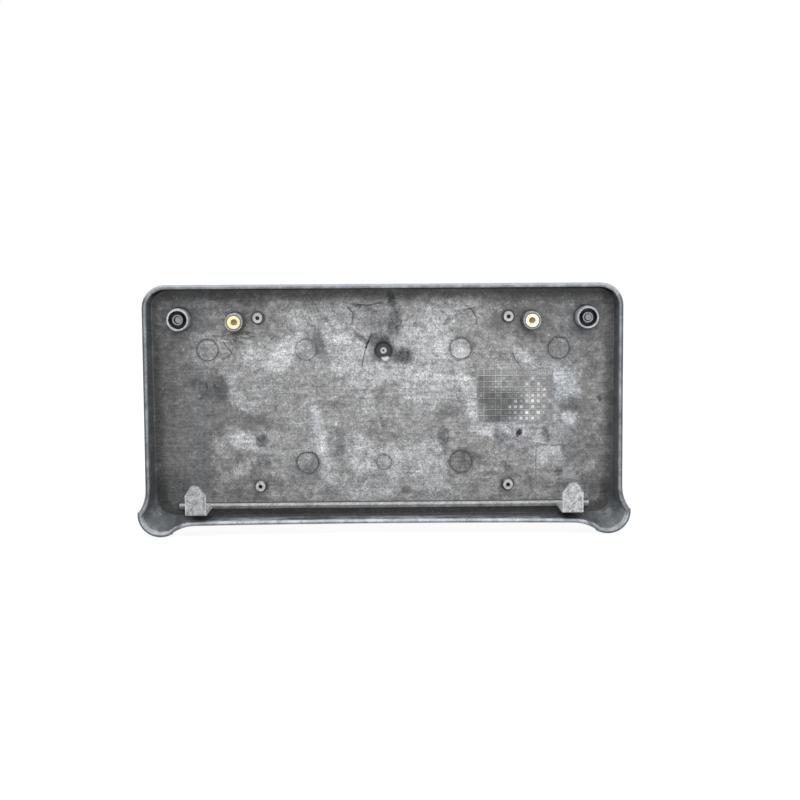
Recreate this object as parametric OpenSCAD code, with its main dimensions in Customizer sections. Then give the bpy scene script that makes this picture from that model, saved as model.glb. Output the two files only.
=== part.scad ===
// Number plate holder for a car's front bumper: one moulded tray with two brass inserts.
// The plate lies on the flat face at the front, and the open back goes against the bumper.
// Plan sizes are laid out as seen from the back: u to the right, v up, and depth n out of the front face.

/* [Panel] */
// Width of the flat panel behind the plate
panel_w = 335; // [330:1:342]
// Height of the flat panel behind the plate
panel_h = 168; // [165:1:175]
// Thickness of the panel
panel_t = 3; // [2.5:0.1:4]
// Outer radius of the upper corners
top_corner_r = 15; // [11:0.5:20]
// Outer radius of the lower corners, under the ears
bottom_corner_r = 17.5; // [12:0.5:20]
// Rounding of the edge round the front face
front_edge_r = 2.4; // [1.5:0.1:2.5]

/* [Skirt] */
// Thickness of the skirt wall where it leaves the panel
wall_t = 2.6; // [2:0.1:4]
// Thickness of the skirt wall at the rim
rim_t = 3; // [2.4:0.1:4]
// How much wider the skirt is at the rim than at the panel, on each side
skirt_draft = 1; // [0.4:0.1:2]
// Depth of the rim behind the front face, at mid height on the centre line
rim_depth = 15; // [12:0.5:20]
// Extra depth of the rim at the left and right ends, as the bumper curves away
rim_bow = 6; // [2:0.5:10]
// Extra depth of the rim along the bottom, and as much less along the top
rim_slope = 3; // [0:0.5:5]
// Rounding of the rim's outer edge
rim_outer_r = 1.5; // [0.8:0.1:1.6]
// Rounding of the rim's inner edge
rim_inner_r = 0.7; // [0.4:0.1:0.8]
// Fillet between the skirt and the floor of the tray
floor_fillet_r = 0.9; // [0.6:0.1:3]

/* [Ears] */
// Radius of the flared ear at each lower corner
ear_r = 16.2; // [14:0.2:18]
// Distance of the ear's centre in from the side of the rim
ear_in = 10.2; // [9:0.2:11]
// Distance of the ear's centre up from the bottom of the rim
ear_up = 8.6; // [8:0.2:10]
// How far the ear's edge steps out past the rim that runs into it
ear_step = 0.6; // [0.2:0.1:1]
// Length of rim over which each side of an ear runs out into the wall
ear_run = 16; // [12:0.5:22]
// Shape of the flare: 1 is straight, and more keeps it steep until near the rim
ear_flare = 1.35; // [1:0.05:1.8]

/* [Bumper screw posts] */
// Distance of each post in from the side of the panel
post_in = 23; // [20:0.5:30]
// Distance of the posts down from the top of the panel
post_down = 23.5; // [20:0.5:30]
// Outer radius of the sleeve round each post
sleeve_r = 8.1; // [7.5:0.1:9]
// Thickness of the sleeve
sleeve_t = 1.6; // [1.2:0.1:2]
// Depth of the sleeve's end behind the front face
sleeve_depth = 13; // [10:0.5:16]
// Radius of the bumper screw's hole
screw_hole_r = 2.8; // [2.2:0.1:3.2]
// Wall of the inner post round the screw
post_wall = 0.9; // [0.8:0.1:1.5]
// How far the inner post stops short of the sleeve's end
post_recess = 0.8; // [0:0.1:2]
// Radius of the shallow seat for the screw's head, in the front face
head_seat_r = 5.6; // [4.5:0.1:7]
// Depth of that seat
head_seat_depth = 1; // [0.5:0.1:1.5]

/* [Brass inserts] */
// Distance between the two inserts
insert_spacing = 210; // [205:0.5:215]
// Distance of the inserts down from the top of the panel
insert_down = 25.4; // [22:0.2:30]
// Radius of the boss that holds each insert
insert_boss_r = 6.5; // [6:0.1:7.5]
// Depth of that boss's end behind the front face
insert_boss_depth = 14.4; // [12:0.2:18]
// Outer radius of the insert
insert_r = 4.5; // [3.8:0.1:4.8]
// Radius of the insert's threaded hole
insert_hole_r = 2.3; // [1.6:0.1:2.5]
// Length of the insert
insert_len = 9.6; // [7:0.1:11]
// How far the insert stands out of its boss
insert_proud = 0.2; // [0:0.1:0.6]
// Depth of the groove between the insert's two grip bands
insert_groove = 0.5; // [0.3:0.1:0.8]

/* [Plate screw bosses] */
// Distance across between the plate screw holes
plate_hole_w = 177.8; // [170:0.1:180]
// Distance up between the plate screw holes
plate_hole_h = 120.6; // [118:0.1:122]
// Height of the middle of those holes above the middle of the panel
plate_hole_rise = 1; // [-1:0.2:1.4]
// Outer radius of each boss
plate_boss_r = 3.85; // [3.2:0.05:4.2]
// Depth of each boss's end behind the front face
plate_boss_depth = 8.2; // [6:0.2:11]
// Radius of the pilot hole for a self-tapping plate screw
pilot_r = 1.45; // [1.2:0.05:1.8]

/* [Hooks and rail] */
// Distance of each hook's middle in from the side of the panel
hook_in = 35.4; // [30:0.2:45]
// Width of a hook
hook_w = 14.5; // [12:0.1:17]
// Depth of a hook's end behind the front face
hook_depth = 31; // [26:0.5:34]
// Height of a hook's tongue, from the outside of its web to its tip
hook_h = 21.2; // [17:0.2:24]
// Width of the flat at the tongue's tip
tongue_tip_w = 4.8; // [4:0.1:8]
// How far the tip stands off the hook's middle, towards the side of the panel
tongue_tip_off = 0.5; // [0:0.1:1]
// Length of the tongue's slanted shoulders
tongue_shoulder = 6.8; // [4:0.2:9]
// Thickness of the tongue, and of the web where they meet
hook_t = 2.5; // [2:0.1:3.2]
// Distance of the rail's and the webs' lower face up from the bottom of the panel
rail_up = 8.2; // [6.6:0.1:12]
// Distance of the rail's ends in from the side of the panel
rail_in = 20.3; // [16:0.1:30]
// Thickness of the rail, and of the webs where they leave the floor
rail_t = 4.4; // [3:0.1:5]
// Depth of the rail's crest behind the front face
rail_depth = 8; // [6:0.2:12]
// Rounding of the rail's crest
rail_edge_r = 1.2; // [0.6:0.1:1.4]

/* [Moulding marks] */
// Distance between the outer pair of upper ejector marks
ejector_outer_spacing = 250.6; // [240:0.2:256]
// Distance between the inner pair, upper and lower
ejector_inner_spacing = 110.3; // [100:0.1:116]
// Height of the upper ejector marks above the middle of the panel
ejector_top_v = 38.5; // [34:0.5:41]
// Distance of the lower ejector marks below the middle of the panel
ejector_bottom_drop = 43; // [38:0.5:47]
// Radius of an ejector mark
ejector_r = 7.9; // [6.5:0.1:8.5]
// Radius of the small ejector mark at the lower middle
ejector_small_r = 5.7; // [4:0.1:7]
// Width of the groove round an ejector mark
ejector_groove_w = 0.7; // [0.4:0.1:1.2]
// Depth of that groove
ejector_groove_depth = 0.35; // [0.2:0.05:0.6]
// Depth of the two lower marks, which are sunk as a whole
ejector_sink = 0.6; // [0.3:0.1:0.9]
// Height of the injection point above the middle of the panel
gate_v = 37.5; // [33:0.5:42]
// Radius of the dimple round the injection point
gate_dimple_r = 7; // [5:0.2:9]
// Depth of that dimple
gate_dimple_depth = 1.5; // [0.8:0.1:1.6]
// Radius of the stub left at the injection point
gate_stub_r = 2.4; // [1.6:0.1:3]
// Height of that stub above the floor of the tray
gate_stub_h = 0.4; // [0.2:0.1:2]

/* [Date grid] */
// Pitch of the grid's cells
grid_pitch = 4.12; // [3.6:0.02:4.2]
// Number of columns
grid_columns = 13; // [8:1:13]
// Number of rows, the empty top row among them
grid_rows = 9; // [6:1:9]
// Distance of the grid's near edge from the centre line
grid_u = 67.4; // [60:0.2:68]
// Height of the grid's upper edge above the middle of the panel
grid_top_v = 22.9; // [20:0.2:24]
// Width of a grid line
grid_line_w = 0.5; // [0.3:0.1:0.8]
// Width of the square pad in each cell
grid_pad_w = 2.1; // [1.2:0.1:2.6]
// Height of the lines and pads above the floor
grid_relief = 0.35; // [0.2:0.05:0.6]
// Width of the shallow rounded field below the grid
field_w = 23; // [18:0.5:26]
// Height of that field
field_h = 19; // [14:0.5:22]
// Corner radius of that field
field_r = 3.5; // [2:0.5:5]
// Depth of that field
field_depth = 0.3; // [0.2:0.05:0.5]

/* [Hidden] */
$fn = 48;
boss_foot = 1.1;        // size of the slanted foot where a boss meets the floor
boss_chamfer = 0.4;     // chamfer at the end of a boss
seat_floor = 1.2;       // plastic left between the sleeve's groove and the front face, above the head seat
root = 0.6;             // how far a raised feature reaches into the panel
cut = 1;                // how far a cutting tool runs past the face it cuts
tangency = 0.01;        // how far the dimple's cone runs past the floor
insert_chamfer = 0.5;   // chamfer at the insert's ends
insert_entry_gap = 0.5; // how much wider the panel's hole is than the insert's thread
field_v = -31.5;        // upper edge of the shallow field
field_u = 109.5;        // near edge of the shallow field
hook_bevel = 0.6;       // bevels at the tongue's tip and at the hook's outer corner
gate_hole_r = 0.6;
gate_hole_depth = 1;
gate_slope = 2.6;       // how far the dimple's side runs in on its way down

rim_half_w = panel_w / 2 + skirt_draft;
rim_half_h = panel_h / 2 + skirt_draft;
web_v = -panel_h / 2 + rail_up;
post_spacing = panel_w - 2 * post_in;
post_v = panel_h / 2 - post_down;
insert_v = panel_h / 2 - insert_down;
hook_spacing = panel_w - 2 * hook_in;
rail_len = panel_w - 2 * rail_in;
insert_end = insert_boss_depth + insert_proud;
insert_start = insert_end - insert_len;

// The ear's circle, and the angles at which its arc starts on the side and ends at the bottom
ear_centre = [-(rim_half_w - ear_in), -(rim_half_h - ear_up)];
ear_side_angle = 174;
ear_bottom_angle = 300;
ear_side_tip = ear_centre + (ear_r - ear_step) * [cos(ear_side_angle), sin(ear_side_angle)];
ear_bottom_tip = ear_centre + (ear_r - ear_step) * [cos(ear_bottom_angle), sin(ear_bottom_angle)];
ear_side_start = ear_side_tip[1] + ear_run;
ear_bottom_end = ear_bottom_tip[0] + ear_run;

// Steps along each stretch of the left half of the outline
top_steps = 6;
corner_steps = 7;
side_steps = 4;
run_steps = 6;
ear_steps = 12;
bottom_steps = 6;

// The arc that leaves a straight wall at a tangent and rises by "out" over "run": its distance from the wall at "x"
function run_radius(out, run) = (out * out + run * run) / (2 * out);
function run_out(x, out, run) = let (r = run_radius(out, run)) r - sqrt(r * r - x * x);

function top_left_corner(half_w, half_h, r) =
    [for (i = [0 : corner_steps]) let (a = 90 + 90 * i / corner_steps)
        [-half_w + r + r * cos(a), half_h - r + r * sin(a)]];

// Left half of the rim's outer edge, from the top middle to the bottom middle
function rim_left() =
    let (corner_r = top_corner_r + skirt_draft,
         side_out = -rim_half_w - ear_side_tip[0],
         bottom_out = -rim_half_h - ear_bottom_tip[1])
    concat(
        [for (i = [0 : top_steps - 1]) [-(rim_half_w - corner_r) * i / top_steps, rim_half_h]],
        top_left_corner(rim_half_w, rim_half_h, corner_r),
        [for (i = [1 : side_steps - 1])
            [-rim_half_w, rim_half_h - corner_r
                - (rim_half_h - corner_r - ear_side_start) * i / side_steps]],
        [for (i = [0 : run_steps]) let (x = ear_run * i / run_steps)
            [-rim_half_w - run_out(x, side_out, ear_run), ear_side_start - x]],
        [for (i = [0 : ear_steps])
            let (a = ear_side_angle + (ear_bottom_angle - ear_side_angle) * i / ear_steps)
            ear_centre + ear_r * [cos(a), sin(a)]],
        [for (i = [0 : run_steps]) let (x = ear_run * (1 - i / run_steps))
            [ear_bottom_end - x, -rim_half_h - run_out(x, bottom_out, ear_run)]],
        [for (i = [1 : bottom_steps]) [ear_bottom_end * (1 - i / bottom_steps), -rim_half_h]]);

// The point a share s of the way round the panel's lower left corner, from the ear's start to its end
function panel_corner(s) =
    let (half_w = panel_w / 2, half_h = panel_h / 2, r = bottom_corner_r,
         down = ear_side_start + half_h - r, arc = PI / 2 * r, along = ear_bottom_end + half_w - r,
         d = s * (down + arc + along))
    d < down ? [-half_w, ear_side_start - d]
    : d < down + arc ? let (a = 180 + 90 * (d - down) / arc)
        [-half_w + r + r * cos(a), -half_h + r + r * sin(a)]
    : [-half_w + r + d - down - arc, -half_h];

// Left half of the panel's edge, with one point for each point of the rim
function panel_left() =
    let (half_w = panel_w / 2, half_h = panel_h / 2, r = top_corner_r,
         corner_count = 2 * run_steps + ear_steps + 2)
    concat(
        [for (i = [0 : top_steps - 1]) [-(half_w - r) * i / top_steps, half_h]],
        top_left_corner(half_w, half_h, r),
        [for (i = [1 : side_steps - 1])
            [-half_w, half_h - r - (half_h - r - ear_side_start) * i / side_steps]],
        [for (i = [0 : corner_count]) panel_corner(i / corner_count)],
        [for (i = [1 : bottom_steps]) [ear_bottom_end * (1 - i / bottom_steps), -half_h]]);

// A half outline and its mirror image, as one closed loop
function both_halves(left) =
    concat(left, [for (i = [len(left) - 2 : -1 : 1]) [-left[i][0], left[i][1]]]);

function unit(v) = v / norm(v);
function outward(loop) =
    [for (i = [0 : len(loop) - 1])
        let (d = loop[(i + 1) % len(loop)] - loop[(i + len(loop) - 1) % len(loop)]) unit([d[1], -d[0]])];

rim_loop = both_halves(rim_left());
panel_loop = both_halves(panel_left());
rim_outward = outward(rim_loop);
panel_outward = outward(panel_loop);

// Depth of the rim at a point: it bows along the bumper and leans with it
function rim_depth_at(p) =
    rim_depth + rim_bow * pow(p[0] / rim_half_w, 2) - rim_slope * p[1] / rim_half_h;

// A ring of the skirt is [inset from the outer surface, depth added, share of the way to the rim]
rings = concat(
    [for (a = [0 : 30 : 90]) [front_edge_r * (1 - sin(a)), front_edge_r * (1 - cos(a)) - panel_t, 0]],
    [for (t = [0.35, 0.7]) [0, 0, t]],
    [for (a = [0 : 45 : 90]) [rim_outer_r * (1 - cos(a)), -rim_outer_r * (1 - sin(a)), 1]],
    [for (a = [90 : -45 : 0]) [rim_t - rim_inner_r * (1 - cos(a)), -rim_inner_r * (1 - sin(a)), 1]],
    [for (t = [0.7, 0.35]) [wall_t + (rim_t - wall_t) * t, 0, t]],
    [for (a = [0 : 45 : 90]) [wall_t + floor_fillet_r * (1 - cos(a)), floor_fillet_r * (1 - sin(a)), 0]],
    [[wall_t + floor_fillet_r, -panel_t, 0]]);

function skirt_point(i, ring) =
    let (t = ring[2],
         outer = panel_loop[i] + (rim_loop[i] - panel_loop[i]) * pow(t, ear_flare),
         inward = -unit(panel_outward[i] * (1 - t) + rim_outward[i] * t),
         p = outer + inward * ring[0])
    [p[0], p[1], panel_t + (rim_depth_at(rim_loop[i]) - panel_t) * t + ring[1]];

// The flared skirt, with the outermost strip of the panel: a closed band round the tray
module skirt() {
    count = len(rim_loop);
    ring_count = len(rings);
    polyhedron(
        points = [for (ring = rings) for (i = [0 : count - 1]) skirt_point(i, ring)],
        faces = [for (k = [0 : ring_count - 1]) for (i = [0 : count - 1])
            let (j = (i + 1) % count, next = (k + 1) % ring_count)
            [k * count + i, next * count + i, next * count + j, k * count + j]],
        convexity = 6);
}

// The flat panel, which ends inside the skirt's strip
module panel() {
    inset = wall_t + floor_fillet_r / 2;
    half_w = panel_w / 2 - inset;
    half_h = panel_h / 2 - inset;
    linear_extrude(panel_t) hull() {
        for (side = [-1, 1]) {
            translate([side * (half_w - top_corner_r + inset), half_h - top_corner_r + inset])
                circle(r = top_corner_r - inset);
            translate([side * (half_w - bottom_corner_r + inset), -half_h + bottom_corner_r - inset])
                circle(r = bottom_corner_r - inset);
        }
    }
}

module at_pair(spacing, v) {
    for (side = [-1, 1]) translate([side * spacing / 2, v, 0]) children();
}

module at_plate_holes() {
    for (row = [-1, 1]) at_pair(plate_hole_w, plate_hole_rise + row * plate_hole_h / 2) children();
}

// A round boss on the floor, with a slanted foot and a chamfered end
module boss(r, depth) {
    rotate_extrude()
        polygon([[0, panel_t - root], [r + boss_foot, panel_t - root], [r + boss_foot, panel_t],
                 [r, panel_t + boss_foot], [r, depth - boss_chamfer], [r - boss_chamfer, depth], [0, depth]]);
}

// The groove between a post and its sleeve, which leaves the inner post standing
module sleeve_groove() {
    groove_floor = head_seat_depth + seat_floor;
    post_r = screw_hole_r + post_wall;
    post_end = sleeve_depth - post_recess;
    rotate_extrude()
        polygon([[post_r, groove_floor], [sleeve_r - sleeve_t, groove_floor],
                 [sleeve_r - sleeve_t, sleeve_depth + cut], [0, sleeve_depth + cut],
                 [0, post_end], [post_r, post_end]]);
}

module screw_hole() {
    translate([0, 0, -cut]) cylinder(r = screw_hole_r, h = sleeve_depth + 2 * cut);
    translate([0, 0, -cut]) cylinder(r = head_seat_r, h = head_seat_depth + cut);
}

// Outline of an insert on its axis, from its own end that faces the plate
function insert_outline() =
    let (band = insert_len * 0.36)
    [[0, 0], [insert_r - insert_chamfer, 0], [insert_r, insert_chamfer], [insert_r, band],
     [insert_r - insert_groove, band + insert_groove],
     [insert_r - insert_groove, insert_len - band - insert_groove],
     [insert_r, insert_len - band], [insert_r, insert_len], [0, insert_len]];

module insert_body() {
    translate([0, 0, insert_start]) rotate_extrude() polygon(insert_outline());
}

// The opening for an insert: its own outline, clear past the boss's end, and a wider hole through the panel
module insert_seat() {
    insert_body();
    translate([0, 0, insert_end - cut / 2]) cylinder(r = insert_r, h = cut);
    translate([0, 0, -cut]) cylinder(r = insert_hole_r + insert_entry_gap, h = insert_start + cut + root);
}

// The rail that ties the hooks, with a rounded crest
module rail() {
    crest = rail_depth - rail_edge_r;
    rotate([90, 0, 90]) linear_extrude(rail_len, center = true) {
        translate([web_v, panel_t - root]) square([rail_t, crest - panel_t + root]);
        translate([web_v + rail_edge_r, panel_t]) square([rail_t - 2 * rail_edge_r, rail_depth - panel_t]);
        for (v = [web_v + rail_edge_r, web_v + rail_t - rail_edge_r])
            translate([v, crest]) circle(r = rail_edge_r);
    }
}

// A hook: a web that stands on the rail's line, and a tongue that points up from its end
module hook(side) {
    inner = web_v + hook_t;
    tip = web_v + hook_h;
    tip_u = side * tongue_tip_off;
    intersection() {
        rotate([90, 0, 90]) linear_extrude(hook_w, center = true)
            polygon([[web_v, panel_t - root], [web_v, hook_depth - hook_bevel],
                     [web_v + hook_bevel, hook_depth], [tip - hook_bevel, hook_depth],
                     [tip, hook_depth - hook_bevel], [tip, hook_depth - hook_t],
                     [inner + hook_bevel, hook_depth - hook_t], [inner, hook_depth - hook_t - hook_bevel],
                     [web_v + rail_t, panel_t - root]]);
        linear_extrude(hook_depth + cut)
            polygon([[-hook_w / 2, web_v - cut], [hook_w / 2, web_v - cut],
                     [hook_w / 2, tip - tongue_shoulder], [tip_u + tongue_tip_w / 2, tip],
                     [tip_u - tongue_tip_w / 2, tip], [-hook_w / 2, tip - tongue_shoulder]]);
    }
}

module ring_groove(r) {
    translate([0, 0, panel_t - ejector_groove_depth])
        rotate_extrude() translate([r - ejector_groove_w, 0]) square([ejector_groove_w, cut]);
}

module ejector_marks() {
    at_pair(ejector_outer_spacing, ejector_top_v) ring_groove(ejector_r);
    at_pair(ejector_inner_spacing, ejector_top_v) ring_groove(ejector_r);
    at_pair(ejector_inner_spacing, -ejector_bottom_drop) translate([0, 0, panel_t - ejector_sink])
        cylinder(r1 = ejector_r - ejector_sink, r2 = ejector_r + cut, h = ejector_sink + cut);
    translate([0, -ejector_bottom_drop, 0]) ring_groove(ejector_small_r);
}

module gate_dimple() {
    translate([0, gate_v, panel_t - gate_dimple_depth])
        cylinder(r1 = gate_dimple_r - gate_slope, r2 = gate_dimple_r, h = gate_dimple_depth + tangency);
}

module gate_stub() {
    translate([0, gate_v, panel_t - gate_dimple_depth - root]) difference() {
        cylinder(r = gate_stub_r, h = gate_stub_h + gate_dimple_depth + root);
        translate([0, 0, gate_stub_h + gate_dimple_depth + root - gate_hole_depth])
            cylinder(r = gate_hole_r, h = gate_hole_depth + cut);
    }
}

// The date grid: raised lines, and a pad in each cell below the empty top row
module date_grid() {
    w = grid_columns * grid_pitch;
    h = grid_rows * grid_pitch;
    gap = grid_pitch - grid_line_w;
    translate([grid_u, grid_top_v - h, panel_t - root]) linear_extrude(root + grid_relief) {
        difference() {
            square([w + grid_line_w, h + grid_line_w]);
            for (column = [0 : grid_columns - 1]) for (row = [0 : grid_rows - 1])
                translate([column * grid_pitch + grid_line_w, row * grid_pitch + grid_line_w]) square(gap);
        }
        for (column = [0 : grid_columns - 1]) for (row = [0 : grid_rows - 2])
            translate([(column + 0.5) * grid_pitch + grid_line_w / 2 - grid_pad_w / 2,
                       (row + 0.5) * grid_pitch + grid_line_w / 2 - grid_pad_w / 2]) square(grid_pad_w);
    }
}

// The shallow field: a rectangle with round corners, cut into the floor
module field() {
    translate([field_u, field_v - field_h, panel_t - field_depth]) linear_extrude(cut) {
        translate([field_r, 0]) square([field_w - 2 * field_r, field_h]);
        translate([0, field_r]) square([field_w, field_h - 2 * field_r]);
        for (x = [field_r, field_w - field_r]) for (y = [field_r, field_h - field_r])
            translate([x, y]) circle(r = field_r);
    }
}

module holder() {
    color("dimgray") rotate([90, 0, 180]) difference() {
        union() {
            difference() {
                union() {
                    skirt();
                    panel();
                }
                gate_dimple();
                ejector_marks();
                field();
            }
            at_pair(post_spacing, post_v) boss(sleeve_r, sleeve_depth);
            at_pair(insert_spacing, insert_v) boss(insert_boss_r, insert_boss_depth);
            at_plate_holes() boss(plate_boss_r, plate_boss_depth);
            rail();
            for (side = [-1, 1]) translate([side * hook_spacing / 2, 0, 0]) hook(side);
            gate_stub();
            date_grid();
        }
        at_pair(post_spacing, post_v) {
            sleeve_groove();
            screw_hole();
        }
        at_pair(insert_spacing, insert_v) insert_seat();
        at_plate_holes() translate([0, 0, -cut]) cylinder(r = pilot_r, h = plate_boss_depth + 2 * cut);
    }
}

// A brass insert, with its threaded hole through it and a chamfer at each mouth
module insert(side) {
    color("gold") rotate([90, 0, 180]) translate([side * insert_spacing / 2, insert_v, 0]) difference() {
        insert_body();
        translate([0, 0, insert_start - cut]) cylinder(r = insert_hole_r, h = insert_len + 2 * cut);
        translate([0, 0, insert_end - insert_chamfer])
            cylinder(r1 = insert_hole_r, r2 = insert_hole_r + insert_chamfer + cut, h = insert_chamfer + cut);
        translate([0, 0, insert_start - cut])
            cylinder(r1 = insert_hole_r + insert_chamfer + cut, r2 = insert_hole_r, h = insert_chamfer + cut);
    }
}

holder();
insert(-1);  // insert_left
insert(1);  // insert_right
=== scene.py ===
"""Looks of the number plate holder: worn moulded plastic seen from its open back, with brass inserts."""
import math
import random

import bmesh
import bpy
from mathutils import Matrix, Vector

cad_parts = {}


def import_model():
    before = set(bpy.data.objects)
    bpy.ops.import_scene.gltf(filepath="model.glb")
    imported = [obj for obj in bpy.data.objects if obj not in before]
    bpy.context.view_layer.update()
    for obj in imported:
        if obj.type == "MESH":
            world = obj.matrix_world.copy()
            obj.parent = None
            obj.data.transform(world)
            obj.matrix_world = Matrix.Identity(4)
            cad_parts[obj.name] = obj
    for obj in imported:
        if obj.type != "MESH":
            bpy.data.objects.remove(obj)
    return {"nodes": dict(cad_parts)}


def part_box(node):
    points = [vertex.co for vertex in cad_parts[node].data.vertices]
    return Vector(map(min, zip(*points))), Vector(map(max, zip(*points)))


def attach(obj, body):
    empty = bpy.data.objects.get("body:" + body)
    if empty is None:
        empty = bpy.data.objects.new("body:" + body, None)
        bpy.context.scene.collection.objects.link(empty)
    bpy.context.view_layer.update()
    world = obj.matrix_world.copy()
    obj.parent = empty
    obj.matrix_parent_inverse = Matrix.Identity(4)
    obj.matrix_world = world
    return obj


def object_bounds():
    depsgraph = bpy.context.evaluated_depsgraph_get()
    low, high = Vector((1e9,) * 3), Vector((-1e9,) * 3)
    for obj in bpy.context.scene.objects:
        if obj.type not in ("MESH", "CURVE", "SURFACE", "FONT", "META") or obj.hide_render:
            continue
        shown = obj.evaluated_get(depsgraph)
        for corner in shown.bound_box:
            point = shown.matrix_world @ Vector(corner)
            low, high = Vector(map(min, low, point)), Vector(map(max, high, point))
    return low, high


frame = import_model()
cad_low, cad_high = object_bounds()

MM = 0.001                        # a millimetre in metres

# Places on the holder, in millimetres as seen from its back: u to the right, v up and depth behind its front
PANEL_T = 3.0                     # depth of the tray's floor
RIM_HALF_W, RIM_HALF_H = 168.5, 85.0
RIM_DEPTH = 15.0                  # the rim's depth at its middle
RIM_BOW = 6.0                     # how much deeper the rim is at its left and right ends
RIM_SLOPE = 3.0                   # how much deeper it is at the bottom, and shallower at the top
EAR_U, EAR_V, EAR_R = 158.7, -76.4, 15.8     # the ears' centres and radius
HOOK_U, HOOK_W = 132.1, 14.5
POSTS = [(-144.5, 60.5), (144.5, 60.5)]
INSERTS = [(-105.0, 58.6), (105.0, 58.6)]
PLATE_BOSSES = [(-88.9, 61.3), (88.9, 61.3), (-88.9, -59.3), (88.9, -59.3)]
GATE = (0.0, 37.5)
GRID_LEFT, GRID_TOP, GRID_PITCH, GRID_COLUMNS, GRID_ROWS = 67.4, 22.9, 4.12, 13, 9
GRID_RIGHT = GRID_LEFT + GRID_COLUMNS * GRID_PITCH
GRID_BOTTOM = GRID_TOP - GRID_ROWS * GRID_PITCH
GRID_LINE_HALF = 0.25
FIELD, FIELD_R = (113.0, -35.0), 3.5     # the centre and radius of the shallow field's upper left corner

# Where one surface gives way to the next: each pair is the start and the end of a smooth step
UPPER_WALL_V = (74, 79)
LOWER_WALL_V = (-76, -81)
SIDE_WALL_U = (158, 163)
SKIRT_U, SKIRT_V = (160, 163), (77.5, 80)
EAR_FROM_U, EAR_FROM_V = (138, 158), (-58, -76)
BETWEEN_EARS_U = (150, 138)
FLOOR_DEPTH = (5.0, 4.2)
RAISED_DEPTH = (6.5, 7.5)
RIM_FROM_DEPTH = (7.5, 8.5)
RIM_BELOW = (2.4, 1.2)            # below the rim's top
FRONT_DEPTH = (2.2, 1.4)
HOOK_DEPTH = (24, 27)
WEB_DEPTH = (5, 6)
RAIL_DEPTH = (12, 11)
RAIL_TOP_V = (-73.0, -73.4)
RAIL_BACK_V = (-77.6, -74.4)
BELOW_RAIL_V = (-75.0, -76.2)
RAIL_END_U = (149.0, 145.0)

# Tones of the surfaces: one value, or the darkest and the palest
WALL_TONES, LOWER_WALL_TONES, FRONT_TONES = (0.050, 0.105), (0.20, 0.48), (0.042, 0.062)
HOOK_TONES, RAIL_SHADE_TONES, STUB_TONES = (0.20, 0.52), (0.06, 0.15), (0.24, 0.55)
ENDS_TONE, ENDS_SPECKLE = 0.30, 0.24
EAR_EDGE_SHADE_TONE, DIMPLE_HIGHLIGHT_TONE, STUB_HOLE_SHADE_TONE = 0.12, 0.60, 0.004
GRID_TONE, GRID_DULL_BY = 0.235, 0.115

# Tints of the greys
CHALK_TINT, DARK_TINT = (0.975, 1.0, 1.03), (1.0, 1.0, 0.995)
SOIL_TINT, WALL_TINT = (0.96, 0.99, 1.07), (0.93, 1.0, 1.075)
WHITE = (1, 1, 1, 1)

NOISE_RANGE = (0.30, 0.70)        # most values of a noise lie in here
NOISE_MIDDLE = 0.5
PATCH_FADE, SPOT_FADE = (0.25, 1.4), (0.25, 1.7)     # where an oval starts to fade and where it ends
SEED_STEPS = (1.0, 1.7, 2.3)


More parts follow.
